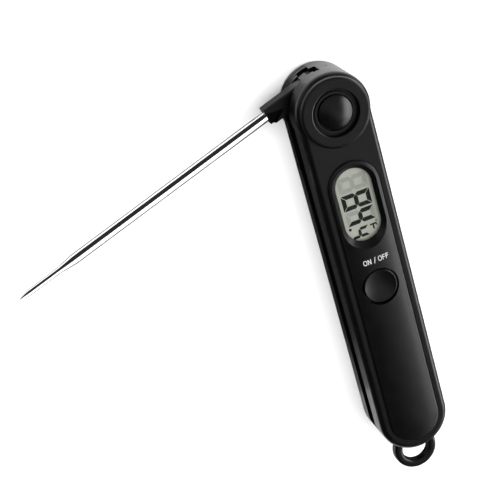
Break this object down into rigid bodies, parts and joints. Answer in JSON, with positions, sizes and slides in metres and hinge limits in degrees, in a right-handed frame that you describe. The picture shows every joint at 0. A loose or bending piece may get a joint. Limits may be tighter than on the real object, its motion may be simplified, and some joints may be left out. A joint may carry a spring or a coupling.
{
  "type": "folding meat thermometer",
  "caption": "Handheld cooking thermometer: a long rounded handle with a small display and one button, and a steel probe that folds into its side.",
  "frame": {"origin": "on the probe's pivot axis, in the plane of the flat back", "axes": "+Z out of the display, +Y from the hanging loop to the pivot end, +X to the right of the display"},
  "size_m": [0.1364, 0.1664, 0.0227],
  "materials": {
    "cover_plastic": "satin moulded",
    "body_plastic": "fine texture",
    "rear_plastic": "fine texture",
    "door_plastic": "fine texture",
    "loop_plastic": "fine texture",
    "ring_plastic": "satin moulded",
    "collar_plastic": "satin moulded",
    "cap_plastic": "satin gloss",
    "button_plastic": "satin",
    "holder_plastic": "satin moulded",
    "probe_steel": "polished stainless steel",
    "washer_steel": "ground",
    "axle_steel": "turned",
    "screw_steel": "plated",
    "clear_lens": "polished clear acrylic",
    "lcd_glass": "grey reflective display glass",
    "inner_plastic": "moulded",
    "contact_rubber": "silicone",
    "board_resin": "solder mask",
    "chip_resin": "potting resin",
    "switch_plastic": "moulded",
    "battery_jacket": "printed sleeve without lettering",
    "contact_metal": "nickel plated spring steel",
    "seal_rubber": "matte",
    "sensor_bead": "glass bead",
    "wire_jacket": "thin insulation"
  },
  "bodies": {
    "handle": {"front_cover": "cover_plastic", "middle_body": "body_plastic", "rear_shell": "rear_plastic", "shell_seal": "seal_rubber", "battery_door": "door_plastic", "hanging_loop": "loop_plastic", "pivot_ring": "ring_plastic", "cap_collar": "collar_plastic", "pivot_cap": "cap_plastic", "friction_washer": "washer_steel", "pivot_axle": "axle_steel", "axle_clip": "axle_steel", "display_lens": "clear_lens", "lcd_panel": "lcd_glass", "lcd_holder": "inner_plastic", "contact_strips": "contact_rubber", "circuit_board": "board_resin", "controller_chip": "chip_resin", "board_components": "chip_resin", "push_switch": "switch_plastic", "button_gasket": "seal_rubber", "battery": "battery_jacket", "battery_tray": "inner_plastic", "positive_contact": "contact_metal", "negative_contact": "contact_metal", "case_screws": "screw_steel", "door_screw": "screw_steel"},
    "probe": {"probe_holder": "holder_plastic", "probe_tube": "probe_steel", "temperature_sensor": "sensor_bead", "probe_wires": "wire_jacket", "pivot_seals": "seal_rubber"},
    "button": {"on_off_button": "button_plastic", "switch_plunger": "switch_plastic"}
  },
  "joints": [
    {"name": "probe_hinge", "type": "hinge", "parent": "handle", "child": "probe", "pos_m": [0, 0, 0], "axis": [0, 0, 1], "range_deg": [-17.5, 72.5]},
    {"name": "button_press", "type": "slide", "parent": "handle", "child": "button", "axis": [0, 0, -1], "range_m": [0, 0.0006], "stiffness_N_per_m": 1500, "springref_m": -0.0004}
  ]
}
